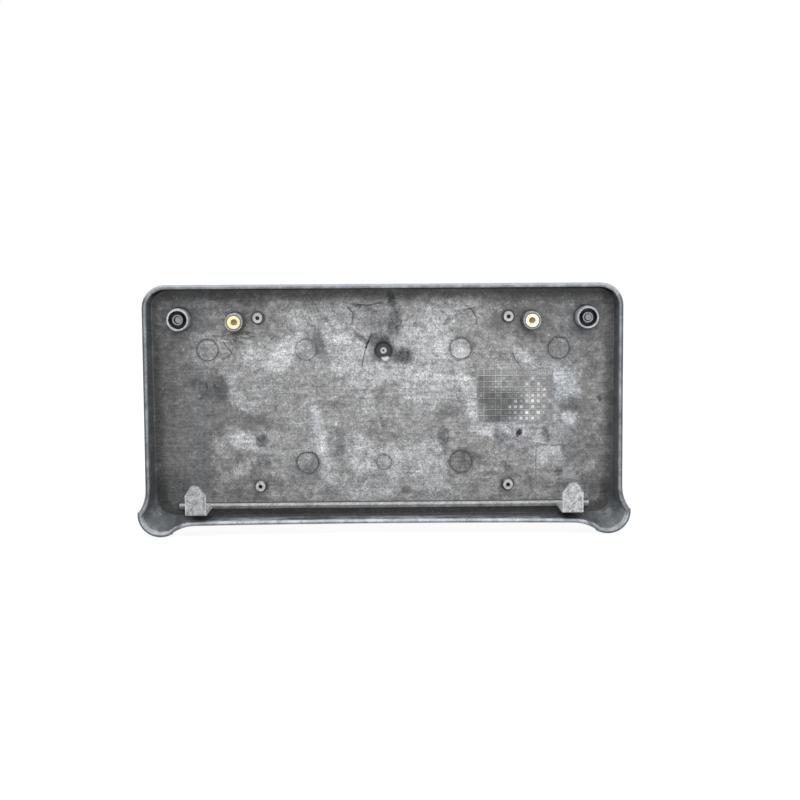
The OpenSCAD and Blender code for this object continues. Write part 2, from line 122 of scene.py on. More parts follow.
# Node helpers
class Nodes:
    """Builds a node tree with short calls; most calls return the new node's first output."""

    def __init__(self, owner):
        """The owner is a new material or world."""
        self.owner = owner
        self.owner.use_nodes = True
        self.tree = self.owner.node_tree
        self.tree.nodes.clear()

    def node(self, kind, **values):
        made = self.tree.nodes.new(kind)
        for key, value in values.items():
            setattr(made, key, value)
        return made

    def put(self, socket, value):
        if isinstance(value, bpy.types.NodeSocket):
            self.tree.links.new(value, socket)
        else:
            socket.default_value = value

    def math(self, operation, *values):
        made = self.node("ShaderNodeMath", operation=operation)
        for socket, value in zip(made.inputs, values):
            self.put(socket, value)
        return made.outputs[0]

    def add(self, a, b):
        return self.math("ADD", a, b)

    def sub(self, a, b):
        return self.math("SUBTRACT", a, b)

    def mul(self, a, b):
        return self.math("MULTIPLY", a, b)

    def larger(self, a, b):
        return self.math("MAXIMUM", a, b)

    def smaller(self, a, b):
        return self.math("MINIMUM", a, b)

    def size(self, a):
        return self.math("ABSOLUTE", a)

    def rest(self, share):
        """What is left of 1."""
        return self.sub(1.0, share)

    def ramp(self, value, low, high, out_low=0.0, out_high=1.0):
        """A smooth step from out_low at low to out_high at high. Unclamped nodes, as they need less room."""
        made = self.node("ShaderNodeMapRange", interpolation_type="SMOOTHSTEP", clamp=False)
        for socket, given in zip(made.inputs, (value, low, high, out_low, out_high)):
            self.put(socket, given)
        return made.outputs[0]

    def vary(self, noise, low, high):
        """The whole range of a noise, taken to low and high."""
        return self.ramp(noise, *NOISE_RANGE, low, high)

    def vector(self, operation, a, b=(0, 0, 0)):
        made = self.node("ShaderNodeVectorMath", operation=operation)
        self.put(made.inputs[0], a)
        self.put(made.inputs[1], b)
        return made.outputs[1] if operation in ("LENGTH", "DISTANCE") else made.outputs[0]

    def distance(self, where, centre):
        """How far the point in the plane is from the centre u, v."""
        return self.vector("DISTANCE", where, (*centre, 0))

    def noise_node(self, where, scale, detail=4.0, rough=0.55, stretch=(1, 1, 1), warp=0.0, seed=0.0):
        """Noise with its scale in features per metre; seed moves it somewhere else."""
        place = self.vector("MULTIPLY", where, tuple(scale * s for s in stretch))
        place = self.vector("ADD", place, tuple(seed * step for step in SEED_STEPS))
        made = self.node("ShaderNodeTexNoise")
        self.put(made.inputs["Vector"], place)
        made.inputs["Scale"].default_value = 1.0
        made.inputs["Detail"].default_value = detail
        made.inputs["Roughness"].default_value = rough
        made.inputs["Distortion"].default_value = warp
        return made

    def noise(self, where, scale, **settings):
        return self.noise_node(where, scale, **settings).outputs["Fac"]

    def wobble(self, where, there, scale, amount, **settings):
        """The place in the plane, moved by noise, so that what is drawn there has ragged edges."""
        colour = self.noise_node(there, scale, **settings).outputs["Color"]
        centred = self.vector("SUBTRACT", colour, (NOISE_MIDDLE,) * 3)
        return self.vector("ADD", where, self.vector("MULTIPLY", centred, (amount, amount, 0)))

    def mix(self, share, a, b):
        """From colour a at share 0 to colour b at share 1."""
        made = self.node("ShaderNodeMix", data_type="RGBA")
        self.put(made.inputs[0], share)
        self.put(made.inputs[6], a)
        self.put(made.inputs[7], b)
        return made.outputs[2]

    def blend(self, share, a, b):
        """From value a at share 0 to value b at share 1."""
        made = self.node("ShaderNodeMix", data_type="FLOAT")
        self.put(made.inputs[0], share)
        self.put(made.inputs[2], a)
        self.put(made.inputs[3], b)
        return made.outputs[0]

    def grey(self, value, tint):
        """A colour of this lightness, tinted."""
        made = self.node("ShaderNodeCombineColor")
        for socket, t in zip(made.inputs, tint):
            self.put(socket, self.mul(value, t))
        return made.outputs[0]

    def place(self):
        """The object's own place in metres, and then u, depth and v in millimetres."""
        there = self.node("ShaderNodeTexCoord").outputs["Object"]
        return there, *self.parts(self.vector("MULTIPLY", there, (-1 / MM, 1 / MM, 1 / MM)))

    def flat(self, u, v):
        """The point u, v as a vector."""
        made = self.node("ShaderNodeCombineXYZ")
        self.put(made.inputs[0], u)
        self.put(made.inputs[1], v)
        return made.outputs[0]

    def parts(self, vector):
        made = self.node("ShaderNodeSeparateXYZ")
        self.put(made.inputs[0], vector)
        return made.outputs[0], made.outputs[1], made.outputs[2]

    def local(self, place, centre, half_sizes, turn):
        """How far the place (u, v) lies along and across an oval that is turned: 1 is a half axis."""
        c, s = math.cos(math.radians(turn)), math.sin(math.radians(turn))
        found = []
        for (du, dv), size in zip(((c, s), (-s, c)), half_sizes):
            start = -(centre[0] * du + centre[1] * dv) / size
            part = self.math("MULTIPLY_ADD", place[1], dv / size, start)
            found.append(self.math("MULTIPLY_ADD", place[0], du / size, part))
        return found

    def bump(self, height, strength, distance):
        made = self.node("ShaderNodeBump")
        made.inputs["Strength"].default_value = strength
        made.inputs["Distance"].default_value = distance
        self.put(made.inputs["Height"], height)
        return made.outputs[0]

    def surface(self, **inputs):
        shader = self.node("ShaderNodeBsdfPrincipled")
        for name, value in inputs.items():
            self.put(shader.inputs[name.replace("_", " ")], value)
        out = self.node("ShaderNodeOutputMaterial")
        self.put(out.inputs[0], shader.outputs[0])
        return self.owner


def patch(n, place, cu, cv, ru, rv, turn, strength, fade=PATCH_FADE):
    """A soft oval of this strength, in the plane of the floor."""
    along, across = n.local(place, (cu, cv), (ru, rv), turn)
    away = n.math("MULTIPLY_ADD", along, along, n.mul(across, across))
    return n.ramp(away, *fade, strength, 0.0)


def stroke(n, place, u0, v0, u1, v1, half_width):
    """A thin line from one point to another: 1 on the line and 0 beside it."""
    length = math.hypot(u1 - u0, v1 - v0)
    turn = math.degrees(math.atan2(v1 - v0, u1 - u0))
    along, across = n.local(place, ((u0 + u1) / 2, (v0 + v1) / 2), (length / 2, 1.0), turn)
    on_line = n.ramp(n.size(across), half_width * 1.5, half_width * 0.4)
    return n.mul(on_line, n.ramp(n.size(along), 1.1, 0.8))


def darken(n, tone, share, amount):
    """The tone, darker by this amount where share is 1."""
    return n.mul(tone, n.rest(n.mul(share, amount)))


def change(n, tone, share, amount):
    """The tone, paler (+) or darker (-) by this amount where share is 1."""
    return n.mul(tone, n.add(1.0, n.mul(share, amount)))


class Spot:
    """Where a point of the moulding lies and which way its surface faces, for all parts of the material."""

    def __init__(self, n):
        self.there, self.u, self.depth, self.v = n.place()
        self.where = n.flat(self.u, self.v)
        self.ragged = n.wobble(self.where, self.there, scale=40, amount=24, detail=7, rough=0.72, seed=31)
        self.shaky = n.wobble(self.where, self.there, scale=240, amount=2.0, detail=4, rough=0.6, seed=47)
        self.face = n.parts(n.node("ShaderNodeTexCoord").outputs["Normal"])
        self.faces_back = n.ramp(self.face[1], 0.70, 0.92)
        self.faces_up = n.ramp(self.face[2], 0.3, 0.9)
        self.away_u, self.away_v = n.size(self.u), n.size(self.v)
        self.ragged_uv, self.shaky_uv = n.parts(self.ragged)[:2], n.parts(self.shaky)[:2]


# The floor of the tray

# Chalky wear: centre u and v, half sizes, turn in degrees, and how pale (+) or dull (-) it is
STAINS = [
    # The first seven dull ovals lie along the walls and in the corners: dullness and painted shade
    (-140, 10, 34, 62, 0, -0.55),
    (-150, -45, 24, 34, 0, -0.40),
    (-118, -56, 40, 22, 0, -0.35),
    (148, 0, 20, 74, 0, -0.28),
    (118, 66, 46, 24, 0, -0.40),
    (-112, 66, 60, 16, 0, -0.22),
    (95, -62, 60, 12, 0, -0.22),
    (-128, 38, 15, 12, 0, 0.30),
    (-72, 36, 20, 9, 48, 0.50),
    (-84, 33, 22, 10, 5, 0.30),
    (-110, 20, 6, 11, 25, 0.50),
    (-100, 2, 13, 5, -40, 0.50),
    (-80, 10, 14, 5, -30, 0.25),
    (-101, -26, 14, 7, -25, 0.60),
    (-103, -46, 8, 5, 0, 0.45),
    (-58, 62, 10, 9, 0, 0.22),
    (-28, 44, 17, 11, -38, 0.45),
    (-8, 22, 34, 11, 0, 0.40),
    (30, 52, 24, 17, 0, 0.32),
    (44, 30, 22, 15, 10, 0.40),
    (28, 12, 28, 13, 0, 0.25),
    (62, 4, 6, 24, 14, 0.50),
    (70, -22, 12, 4, -10, 0.45),
    (-46, -24, 5, 24, 8, 0.50),
    (-38, -50, 8, 11, 20, 0.40),
    (-16, -38, 9, 15, 12, 0.45),
    (20, -44, 26, 17, 0, 0.32),
    (-8, -64, 20, 7, 0, 0.25),
    (50, -58, 16, 9, 20, 0.20),
    (131, 14, 12, 11, -20, 0.60),
    (133, -12, 6, 7, -20, 0.50),
    (102, 33, 11, 5, -40, 0.55),
    (92, -22, 26, 6, -4, 0.40),
    (119, -38, 11, 8, 0, 0.50),
    (-104, -8, 26, 9, -12, -0.25),
    (64, -40, 12, 10, 0, -0.25),
    (0, -20, 12, 9, 0, -0.25),
    (3, 8, 10, 9, 0, -0.30),
]
# Soiled spots: centre u and v, half sizes, turn in degrees, and how dark they are
SPOTS = [
    (7.8, 57.4, 5.5, 10, -10, 0.62),
    (-3.2, 45.5, 8, 5.5, 0, 0.60),
    (5.9, 73.8, 2.8, 6, 15, 0.72),
    (-8.7, 65.6, 5, 2, -15, 0.45),
    (-14.6, 45.5, 7.3, 2, -38, 0.50),
    (-3.2, 59.2, 8, 6, 0, 0.32),
    (1, 52, 12, 9, 0, 0.22),
    (-18.7, 69.7, 4, 1.3, -15, 0.60),
    (-46, 42.8, 5, 11, 10, 0.40),
    (-24, 52.3, 12, 3, -43, 0.20),
    (46, 58.3, 5, 2, 35, 0.40),
    (-40.6, 60, 2, 2, 0, 0.45),
    (14, 34.2, 6.5, 6, 0, 0.66),
    (3, 25, 3, 4, 0, 0.30),
    (-130, 12, 11, 5, -38, 0.35),
    (-117, 12, 6, 10, 0, 0.35),
    (-88, -27, 5, 5, 0, 0.55),
    (-87, -42, 6, 5, -15, 0.40),
    (-152, 41, 4, 3, 0, 0.42),
    (-101, 50.5, 8, 1.6, 3, 0.50),
    (48, -8, 9, 7, 20, 0.22),
    (43, -25, 4, 9, 8, 0.50),
    (83.6, -24, 6, 4, -30, 0.46),
    (97, -22.6, 2.2, 3.2, -15, 0.92),
    (101, -26.6, 4, 2, -20, 0.35),
    (116.3, -23.5, 2.8, 5.5, 12, 0.52),
    (133.5, -2.9, 7, 6, 0, 0.28),
    (148.8, 22, 5, 7, 0, 0.35),
    (155, 2, 1.5, 3, 0, 0.60),
    (125.8, -50.8, 3.2, 3.2, 0, 0.55),
    (89.4, -48.7, 4, 3, 0, 0.45),
    (139.4, -52, 1.6, 1.6, 0, 0.45),
    (-58, -52, 12, 7, 0, 0.30),
    (-38, -64, 8, 5, 0, 0.28),
    (16, -63, 4, 3, 0, 0.50),
    (36, -66, 12, 4, 0, 0.22),
    (-32, -30, 4, 10, 5, 0.28),
    # The last three darken the lower corners and the strip along the left wall: soil and painted shade where
    # the walls meet the floor
    (-152, -62, 13, 17, 0, 0.36),
    (151, -64, 12, 13, 0, 0.30),
    (-156, 10, 8, 50, 0, 0.20),
]
# Cracks and scratches: start and end u and v, half width, and how dark (-) or pale (+)
SCRATCHES = [
    (-114, 45, -107.8, 36, 0.42, -0.75),
    (-107.8, 36, -115.6, 31, 0.38, -0.60),
    (-121, 50, -106.7, 47.2, 0.6, 0.6),
    (-118.6, 46.6, -110.5, 44.7, 0.45, 0.55),
    (-123, 49.2, -92, 47.2, 0.9, -0.35),
    (-108, 46.6, -104.2, 44.7, 0.5, -0.6),
    (-103.6, 44.4, -100.5, 44.4, 0.45, -0.5),
    (-98, 49.8, -91.7, 47.6, 0.45, -0.55),
    (-106, 48.5, -96, 48.6, 0.45, 0.5),
    (-80.5, 45.4, -76.7, 48.5, 0.6, -0.5),
    (-7.5, 50, -10.5, 44.5, 0.5, -0.75),
    (-10.2, 45, -12.8, 39, 0.8, -0.95),
    (-12.4, 40, -14, 33, 0.45, -0.75),
    (-14, 33.5, -15.3, 26, 0.35, -0.65),
    (-26, 69, -21.5, 64, 0.5, -0.75),
    (-21.5, 64.5, -22, 57, 0.5, -0.65),
    (-19, 70.5, -11, 69.5, 0.6, -0.7),
    (-12, 69.5, 1, 72, 0.45, -0.7),
    (-39, 57, -31, 51, 1.0, -0.22),
    (57, 66, 66, 68, 0.5, -0.7),
    (62.5, 67, 66.3, 61, 0.5, -0.7),
    (66.3, 61.5, 67, 55, 0.45, -0.6),
    (14, 52, 13, 59, 0.35, -0.40),
    (92, 36, 95, 29, 0.40, -0.55),
    (95, 29, 99, 24, 0.40, -0.55),
    (106, 28, 111, 24, 0.40, -0.50),
    (-134, 15, -131, 3, 0.45, 0.5),
    (-127, 16, -126, 11, 0.6, -0.7),
    (-121, 15, -120, 12, 0.5, -0.6),
    (-132, 4, -130, 5, 0.6, -0.7),
    (60, 3, 72, 2, 0.3, -0.45),
    (98, -27, 117, -30, 0.45, 0.6),
    (88, -17, 93, -20, 0.4, -0.5),
    (70, -55, 88, -53, 0.5, 0.40),
    (68, -50, 84, -49, 0.35, 0.35),
    (-152, 20, -140, 12, 0.3, -0.35),
    (131, 6.5, 136, 6.5, 0.4, 0.5),
]
DIMPLE_HIGHLIGHT = (1.2, 32.0, 3.0, 1.7, 0, 1.0)     # a painted highlight on the lower side of the gate's dimple, where its wall faces the light
# Ejector marks: centre u and v, radius of the line, and how dark the line, the inside and the ground round
# it are
EJECTORS = [
    (-125.3, 38.5, 7.5, 0.62, 0.0, 0.0),
    (-55.1, 38.5, 7.6, 0.30, 0.0, 0.0),
    (55.1, 38.5, 7.6, 0.50, -0.15, 0.2),
    (125.3, 38.5, 7.6, 0.65, 0.28, 0.20),
    (-55.1, -43.0, 7.7, 0.68, 0.18, 0.20),
    (55.1, -43.0, 7.7, 0.70, 0.42, 0.38),
    (0.0, -43.0, 5.3, 0.55, 0.12, 0.0),
    (-150.0, 7.0, 7.8, 0.20, 0.05, 0.0),
    (-61.0, 60.0, 8.6, 0.22, -0.12, 0.0),
    (-96.0, 74.0, 4.6, 0.20, 0.05, 0.0),
    (-153.0, 73.5, 4.6, 0.20, 0.05, 0.0),
]
EDGE_DIRT_AND_SHADE_FROM = (150, 67)        # the straight sides end here, and the dirt and painted shade along the walls turn round the corners
EDGE_DIRT_AND_SHADE_R = 14.0
# Darkening round what stands on the floor: centres, where it starts, where it is full, and how dark it is
BOSS_DARKENING = [(POSTS, 15, 9, 0.25), (INSERTS, 11, 7.2, 0.18), (PLATE_BOSSES, 7.5, 4.8, 0.15)]
# The gate's dimple, darkened by dirt and painted shade: where each ring starts, where it is full, and how
# dark it is
GATE_RINGS = [(10.5, 6.8, 0.50), (7.4, 5.8, 0.93)]
STUB_EDGE, STUB_HOLE_EDGE = (2.45, 2.1), (0.85, 0.55)
# Ovals on the date grid, as in the table of chalky wear: where it is dull, where it is dusty, and a pale one
GRID_DULL = [(84, -4, 19, 13, 25, 1.0), (72, 10, 8, 12, 0, 0.7)]
GRID_DUST = [(102, -6, 14, 10, 10, 1.0), (112, 10, 14, 12, 0, 0.45)]
GRID_PALE = (70, -8, 5, 8, 0, 0.08)
BARE_TONE = 0.128
# How the chalk adds lightness: from this level, to this level, by this much
CHALK_STEPS = [(-0.45, 0.10, 0.125), (0.08, 0.48, 0.13), (0.48, 0.85, 0.10)]
# Hair cracks and hair lines: scale, seed, width, and how dark (-) or pale (+)
HAIR_LINES = [(30, 61, 0.005, -0.50), (75, 83, 0.006, 0.40), (60, 97, 0.004, -0.45)]


def chalky_floor(n, at):
    """Tone of the bare floor, how chalky it is, and its grain."""
    cloud = n.noise(at.there, scale=30, detail=8, rough=0.68, warp=0.5, seed=3)
    mottle = n.noise(at.there, scale=130, detail=6, rough=0.72, seed=11)
    clouds = n.mul(n.sub(cloud, NOISE_MIDDLE), 1.5)
    mottles = n.mul(n.sub(mottle, NOISE_MIDDLE), 1.6)
    level = n.add(0.08, n.add(clouds, mottles))
    for stain in STAINS:
        level = n.add(level, patch(n, at.ragged_uv, *stain))
    tone = BARE_TONE
    for start, end, lift in CHALK_STEPS:
        tone = n.add(tone, n.ramp(level, start, end, 0.0, lift))

    # Fine grain, brushed lines across, smears, pits and pale specks
    grain = n.noise(at.there, scale=900, detail=3, rough=0.7, seed=5)
    coarse = n.noise(at.there, scale=330, detail=3, rough=0.65, seed=7)
    brushed = n.noise(at.there, scale=650, detail=2, rough=0.6, stretch=(0.07, 1, 1), seed=21)
    grain_depth = n.ramp(level, -0.4, 0.3, 0.25, 0.40)
    tone = change(n, tone, n.vary(grain, -1.0, 1.05), grain_depth)
    tone = n.mul(tone, n.vary(coarse, 0.78, 1.22))
    smears = n.noise(at.there, scale=62, detail=7, rough=0.62, warp=2.2, stretch=(0.8, 1, 1), seed=71)
    tone = n.mul(tone, n.ramp(smears, 0.34, 0.62, 0.80, 1.16))
    tone = n.mul(tone, n.vary(brushed, 0.86, 1.14))
    pits = n.noise(at.there, scale=420, detail=2, rough=0.6, seed=33)
    tone = n.mul(tone, n.ramp(pits, 0.27, 0.33, 0.55, 1.0))
    dusty_places = n.noise(at.there, scale=25, detail=2, seed=35)
    specks = n.mul(n.ramp(pits, 0.66, 0.71), n.ramp(dusty_places, 0.45, 0.6))
    return n.add(tone, n.mul(specks, 0.20)), level, grain


def soiled(n, at, tone):
    """The tone with its soiled spots, speckled and soft at their edges, and how soiled it is."""
    soil = 0.0
    for spot in SPOTS:
        soil = n.larger(soil, patch(n, at.shaky_uv, *spot, fade=SPOT_FADE))
    flecks = n.noise(at.there, scale=480, detail=4, rough=0.75, seed=41)
    soil = n.smaller(n.mul(soil, n.ramp(flecks, 0.32, 0.62, 1.45, 0.80)), 0.96)
    return n.mul(tone, n.rest(soil)), soil


def cracked(n, at, tone):
    """The tone with hair cracks and scratches."""
    for scale, seed, width, amount in HAIR_LINES:
        contours = n.noise(at.there, scale=scale, detail=4, rough=0.6, warp=1.2, seed=seed)
        lines = n.ramp(n.size(n.sub(contours, NOISE_MIDDLE)), width, width * 0.2)
        found = n.ramp(n.noise(at.there, scale=22, detail=2, seed=seed + 5), 0.53, 0.62)
        tone = change(n, tone, n.mul(lines, found), amount)
    for scratch in SCRATCHES:
        tone = change(n, tone, stroke(n, at.shaky_uv, *scratch[:5]), scratch[5])
    return tone


def field_edge(n, at, tone):
    """The tone with painted shade along the edge of the shallow field, at its upper left only."""
    from_corner = n.vector("MULTIPLY", n.vector("SUBTRACT", at.shaky, (*FIELD, 0)), (-1, 1, 0))
    beside = n.vector("LENGTH", n.vector("MAXIMUM", from_corner))
    line = n.ramp(n.size(n.sub(beside, FIELD_R)), 0.6, 0.15)
    seen = patch(n, at.shaky_uv, *FIELD, 20, 16, 0, 0.55)
    return darken(n, tone, line, seen)


def ejector_mark(n, at, tone, cu, cv, r, line, inside, round_it):
    away = n.distance(at.shaky, (cu, cv))
    tone = darken(n, tone, n.ramp(n.size(n.sub(away, r)), 0.70, 0.20), line)
    tone = darken(n, tone, n.ramp(n.size(n.sub(away, r + 1.0)), 0.6, 0.1), line * 0.45)
    if inside:
        tone = darken(n, tone, n.ramp(away, r, r - 1.2), inside)
    if round_it:
        ground = n.mul(n.ramp(away, r + 5, r + 0.5), n.ramp(away, r - 0.4, r))
        tone = darken(n, tone, ground, round_it)
    return tone


def gate_mark(n, at, tone, grain):
    """The tone with the injection point: a dimple darkened by dirt and painted shade, a painted highlight on
    its lower side, and a pale stub whose hole is painted black as shade.
    """
    away = n.distance(at.shaky, GATE)
    # Dirt and painted shade in the dimple
    for start, full, amount in GATE_RINGS:
        tone = darken(n, tone, n.ramp(away, start, full), amount)
    # Painted highlight on the dimple's lower wall, which faces the light
    tone = n.blend(patch(n, at.shaky_uv, *DIMPLE_HIGHLIGHT), tone, DIMPLE_HIGHLIGHT_TONE)
    stub = n.distance(at.where, GATE)
    tone = n.blend(n.ramp(stub, *STUB_EDGE), tone, n.vary(grain, *STUB_TONES))
    # The stub's hole painted black as shade
    return n.blend(n.ramp(stub, *STUB_HOLE_EDGE), tone, STUB_HOLE_SHADE_TONE)


def edge_dirt_and_shade(n, at, tone):
    """The tone with dirt and painted shade along the walls, painted shadow under the upper rim and below the
    rail, painted shade in the lower corners, and darker rings round the bosses.
    """
    past_sides = n.vector("SUBTRACT", n.vector("ABSOLUTE", at.shaky), (*EDGE_DIRT_AND_SHADE_FROM, 0))
    to_wall = n.sub(EDGE_DIRT_AND_SHADE_R, n.vector("LENGTH", n.vector("MAXIMUM", past_sides)))
    # Dirt and painted shade along the walls
    tone = darken(n, tone, n.ramp(to_wall, 10.0, 1.0), 0.58)
    # Painted shadow under the upper rim
    tone = darken(n, tone, n.ramp(at.ragged_uv[1], 69, 79), 0.52)
    # Painted shade in the gap below the rail
    below_rail = n.mul(n.ramp(at.v, *BELOW_RAIL_V), n.ramp(at.away_u, *RAIL_END_U))
    tone = darken(n, tone, below_rail, 0.62)
    # Painted shade in the lower corners
    lower_corners = n.mul(n.ramp(at.v, -45, -62), n.rest(below_rail))
    tone = darken(n, tone, n.mul(n.ramp(to_wall, 9.5, 7.0), lower_corners), 0.50)
    # Darker rings round the posts and bosses
    for centres, far, near, amount in BOSS_DARKENING:
        place = at.ragged if centres is POSTS else at.shaky
        for centre in centres:
            tone = darken(n, tone, n.ramp(n.distance(place, centre), far, near), amount)
    return tone


def floor_of_tray(n, at):
    """Tone of the tray's floor, how chalky and how soiled it is, and its grain."""
    tone, level, grain = chalky_floor(n, at)
    tone, soil = soiled(n, at, tone)
    tone = cracked(n, at, tone)
    tone = field_edge(n, at, tone)
    for mark in EJECTORS:
        tone = ejector_mark(n, at, tone, *mark)
    tone = gate_mark(n, at, tone, grain)
    return edge_dirt_and_shade(n, at, tone), level, soil, grain


def luck_of(n, cell):
    """A random value from 0 to 1 for each cell."""
    chance = n.node("ShaderNodeTexWhiteNoise", noise_dimensions="2D")
    n.put(chance.inputs["Vector"], cell)
    return chance.outputs["Value"]


def middle_distance(n, part):
    """How far along its cell a point is from the cell's middle, in cells."""
    return n.size(n.sub(n.math("FRACT", part), 0.5))


def bright_grid_lines(n, at, column, row):
    """Where the grid's lines are rubbed bright: some of them, picked by luck, and less so to the right."""
    bright = 0.0
    for part, steady in ((row, 3.0), (column, 7.0)):
        line_number = n.math("FLOOR", n.sub(part, 0.5))
        picker = n.flat(steady, line_number) if part is row else n.flat(line_number, steady)
        line = n.ramp(middle_distance(n, part), 0.42, 0.46)
        bright = n.larger(bright, n.mul(line, n.ramp(luck_of(n, picker), 0.35, 0.6)))
    return n.mul(bright, n.ramp(at.u, 118, 95, 0.15, 1.0))


def date_grid(n, at, grain):
    """Tone of the date grid and its share: dull lines and pads, dark to the left and dusty to the right."""
    inside = n.mul(n.mul(n.ramp(at.u, GRID_LEFT - 0.6, GRID_LEFT),
                         n.ramp(at.u, GRID_RIGHT + 1.1, GRID_RIGHT + 0.5)),
                   n.mul(n.ramp(at.v, GRID_TOP + 1.1, GRID_TOP + 0.5),
                         n.ramp(at.v, GRID_BOTTOM - 0.6, GRID_BOTTOM)))
    column = n.mul(n.sub(at.u, GRID_LEFT + GRID_LINE_HALF), 1 / GRID_PITCH)
    row = n.mul(n.sub(GRID_TOP + GRID_LINE_HALF, at.v), 1 / GRID_PITCH)
    luck = luck_of(n, n.flat(n.math("FLOOR", column), n.math("FLOOR", row)))
    off_centre = n.larger(middle_distance(n, column), middle_distance(n, row))
    on_pad = n.mul(n.ramp(off_centre, 0.29, 0.25), n.ramp(at.depth, PANEL_T + 0.15, PANEL_T + 0.3))
    bright_lines = bright_grid_lines(n, at, column, row)
    on_ring = n.mul(n.ramp(off_centre, 0.15, 0.19), n.ramp(off_centre, 0.33, 0.29))
    on_line = n.ramp(off_centre, 0.41, 0.45)

    dull = n.add(*[patch(n, at.shaky_uv, *oval) for oval in GRID_DULL])
    ground = n.sub(GRID_TONE, n.mul(n.smaller(dull, 1.0), GRID_DULL_BY))
    ground = n.add(ground, patch(n, at.shaky_uv, *GRID_PALE))
    dusty = n.add(*[patch(n, at.shaky_uv, *oval) for oval in GRID_DUST])
    dusty = n.mul(n.smaller(dusty, 1.0), n.ramp(luck, 0.1, 0.6, 0.35, 1.0))
    ringed = n.mul(n.mul(on_ring, n.ramp(at.u, 80, 95)), n.ramp(luck, 0.1, 0.5, 0.2, 0.75))
    lined = n.mul(on_line, n.ramp(luck, 0.2, 0.8, 0.12, 0.60))
    tone = n.mul(ground, n.add(n.add(1.0, lined), n.mul(dusty, 0.25)))
    bright_lines = n.mul(n.mul(bright_lines, n.ramp(luck, 0.0, 0.6, 0.35, 1.0)), 0.62)
    tone = n.mul(tone, n.add(n.add(1.0, ringed), bright_lines))
    pad = n.add(n.mul(ground, n.ramp(luck, 0.2, 0.8, 0.75, 1.45)), n.mul(dusty, 0.42))
    tone = n.blend(on_pad, tone, pad)
    return n.mul(tone, n.vary(grain, 0.78, 1.22)), inside


# The rest of the moulding

# Round the holes of the sleeves: centres, where the dull ring starts, where it is full, and its tone
SLEEVES = [(POSTS, 5.2, 4.4, 0.22), (INSERTS, 5.9, 5.4, 0.14)]
SLEEVE_EDGE = (9.0, 8.4)


class Wear:
    """The noises and the places that several surfaces of the moulding share."""

    def __init__(self, n, at):
        self.fine = n.noise(at.there, scale=1500, detail=2, rough=0.6, seed=9)
        self.rub = n.noise(at.there, scale=150, detail=6, rough=0.72, seed=101)
        self.along_rim = n.noise(at.there, scale=55, detail=6, rough=0.7, warp=0.3, seed=107)
        self.at_top, self.at_bottom = n.ramp(at.v, *UPPER_WALL_V), n.ramp(at.v, *LOWER_WALL_V)


def skirt_wall(n, at, wear):
    """Tone of the inner sides of the skirt and the ears: smooth and dark, with streaks towards the rim,
    painted shade on the upper wall and a little painted light on the lower wall.
    """
    streak = n.noise(at.there, scale=300, detail=4, rough=0.65, stretch=(1, 0.12, 1), seed=121)
    wall = n.ramp(streak, 0.35, 0.72, *WALL_TONES)
    wall = n.add(wall, n.mul(n.ramp(at.away_u, *SIDE_WALL_U), 0.018))
    # Painted shade on the upper wall, and a little painted light on the lower wall
    wall = n.add(darken(n, wall, wear.at_top, 0.92), n.mul(wear.at_bottom, 0.025))
    ear = n.mul(n.ramp(at.away_u, *EAR_FROM_U), n.ramp(at.v, *EAR_FROM_V))
    scuffed = n.mul(n.ramp(wear.rub, 0.44, 0.66), n.ramp(wear.along_rim, 0.42, 0.6))
    return n.add(wall, n.mul(ear, n.add(0.022, n.mul(scuffed, 0.11))))


def below_rim(n, at):
    """How far a point lies below the rim's top, which bows along the bumper and leans with it."""
    reach = n.mul(at.u, 1 / RIM_HALF_W)
    bowed = n.sub(n.mul(n.mul(reach, reach), RIM_BOW), n.mul(at.v, RIM_SLOPE / RIM_HALF_H))
    return n.sub(n.add(RIM_DEPTH, bowed), at.depth)


def facing_outwards(n, at):
    """How much the surface faces away from the middle of the holder."""
    upwards = n.mul(at.face[2], n.mul(at.v, 1 / RIM_HALF_H))
    return n.sub(upwards, n.mul(at.face[0], n.mul(at.u, 1 / RIM_HALF_W)))


def skirt_rim(n, at, wear, leans_out):
    """Tone of the rim: rubbed pale from its inner side to its top, with a painted highlight on the lower
    rim, and painted shade where it rounds off outwards, save for a painted highlight on the upper rim's
    outer rounding.
    """
    worn = n.add(n.ramp(wear.rub, 0.36, 0.62, 0.0, 0.5), n.ramp(wear.along_rim, 0.42, 0.60, 0.0, 0.5))
    # The lower rim, and a little of the upper rim, are paler: wear and a painted highlight where the rim
    # faces up to the light
    polished_and_lit = n.larger(n.mul(wear.at_bottom, n.ramp(at.away_u, 150, 140, 0.55, 1.0)),
                        n.mul(wear.at_top, 0.12))
    pale_rim = n.blend(polished_and_lit, n.add(0.10, n.mul(worn, 0.22)), n.add(0.34, n.mul(worn, 0.36)))
    lower_middle = n.mul(wear.at_bottom, n.ramp(at.away_u, *BETWEEN_EARS_U))
    # Painted shade where the rim rounds off outwards
    dark_rim = n.blend(lower_middle, n.add(0.05, n.mul(worn, 0.08)), n.add(0.13, n.mul(worn, 0.20)))
    # Painted highlight on the upper rim's outer rounding, which faces the light above
    dark_rim = n.add(dark_rim, n.mul(wear.at_top, 0.24))
    rim = n.blend(n.ramp(leans_out, 0.02, 0.38), pale_rim, dark_rim)
    # A painted shade line along the edge of the ears
    from_ear = n.distance(n.flat(at.away_u, at.v), (EAR_U, EAR_V))
    ear_edge_shade = n.mul(n.ramp(from_ear, EAR_R - 2.0, EAR_R - 1.2), n.ramp(from_ear, EAR_R + 1.6, EAR_R + 0.6))
    return n.blend(n.mul(ear_edge_shade, 0.75), rim, EAR_EDGE_SHADE_TONE)


